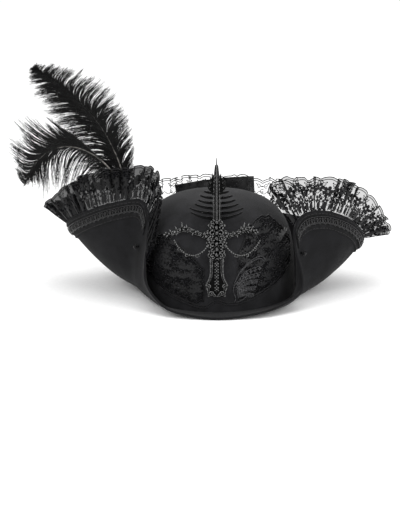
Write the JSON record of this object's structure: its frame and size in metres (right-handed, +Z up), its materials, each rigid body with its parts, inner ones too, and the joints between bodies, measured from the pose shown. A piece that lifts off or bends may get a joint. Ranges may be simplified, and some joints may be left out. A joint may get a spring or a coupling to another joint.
{
  "type": "pirate hat",
  "caption": "Black felt tricorn with a domed crown, cocked brim, gathered lace edging, ostrich plumes, a back bow and a detachable cast cross badge; worn on the head.",
  "frame": {"origin": "centre of the head opening, in the plane the hat stands on", "axes": "+Z up through the crown, -Y the front of the hat where the badge is, +X the wearer's left"},
  "size_m": [0.3976, 0.256, 0.234],
  "materials": {
    "wool_felt": "matte wool felt, brushed nap",
    "satin_lining": "satin weave",
    "grosgrain": "ribbed grosgrain ribbon",
    "felt_facing": "matte twill facing",
    "gimp_braid": "corded gimp, satin yarn",
    "tulle_lace": "embroidered tulle",
    "satin_ribbon": "satin",
    "black_button": "gloss",
    "felt_socket": "bound felt",
    "gunmetal": "black gunmetal plate, polished high spots",
    "steel": "satin",
    "stem_tape": "wound cotton tape",
    "quill": "horn, dyed",
    "ostrich_barbs": "dyed ostrich barbs"
  },
  "bodies": {
    "hat": {"crown": "wool_felt", "crown_lining": "satin_lining", "sweatband": "grosgrain", "brim": "wool_felt", "facing_right": "felt_facing", "facing_left": "felt_facing", "facing_back": "felt_facing", "braid_right": "gimp_braid", "braid_left": "gimp_braid", "braid_back": "gimp_braid", "ruffle_right": "tulle_lace", "ruffle_left": "tulle_lace", "ruffle_back": "tulle_lace", "applique_right": "tulle_lace", "applique_left": "tulle_lace", "tack_button_right": "black_button", "tack_button_left": "black_button", "bow_loop_right": "satin_ribbon", "bow_loop_left": "satin_ribbon", "bow_knot": "satin_ribbon", "bow_tail_right": "satin_ribbon", "bow_tail_left": "satin_ribbon", "plume_socket": "felt_socket"},
    "badge": {"badge_back_plate": "gunmetal", "badge_rails": "gunmetal", "badge_florets": "gunmetal", "badge_boss": "gunmetal", "badge_arm_right": "gunmetal", "badge_arm_left": "gunmetal", "badge_swag_right": "gunmetal", "badge_swag_left": "gunmetal", "badge_spine": "gunmetal", "badge_collar": "gunmetal", "badge_ribs_right": "gunmetal", "badge_ribs_left": "gunmetal", "badge_posts": "steel"},
    "upper_nut": {"post_nut_upper": "steel"},
    "lower_nut": {"post_nut_lower": "steel"},
    "plumes": {"plume_stem": "stem_tape", "plume_tall_quill": "quill", "plume_tall_vane": "ostrich_barbs", "plume_curled_quill": "quill", "plume_curled_vane": "ostrich_barbs"}
  },
  "joints": [
    {"name": "badge_pull", "type": "slide", "parent": "hat", "child": "badge", "axis": [0, -1, 0], "range_m": [0, 0.03]},
    {"name": "upper_nut_undo", "type": "slide", "parent": "hat", "child": "upper_nut", "axis": [0, 1, 0], "range_m": [0, 0.012]},
    {"name": "lower_nut_undo", "type": "slide", "parent": "hat", "child": "lower_nut", "axis": [0, 1, 0], "range_m": [0, 0.012]},
    {"name": "plume_lift", "type": "slide", "parent": "hat", "child": "plumes", "axis": [0, 0, 1], "range_m": [0, 0.06]}
  ]
}
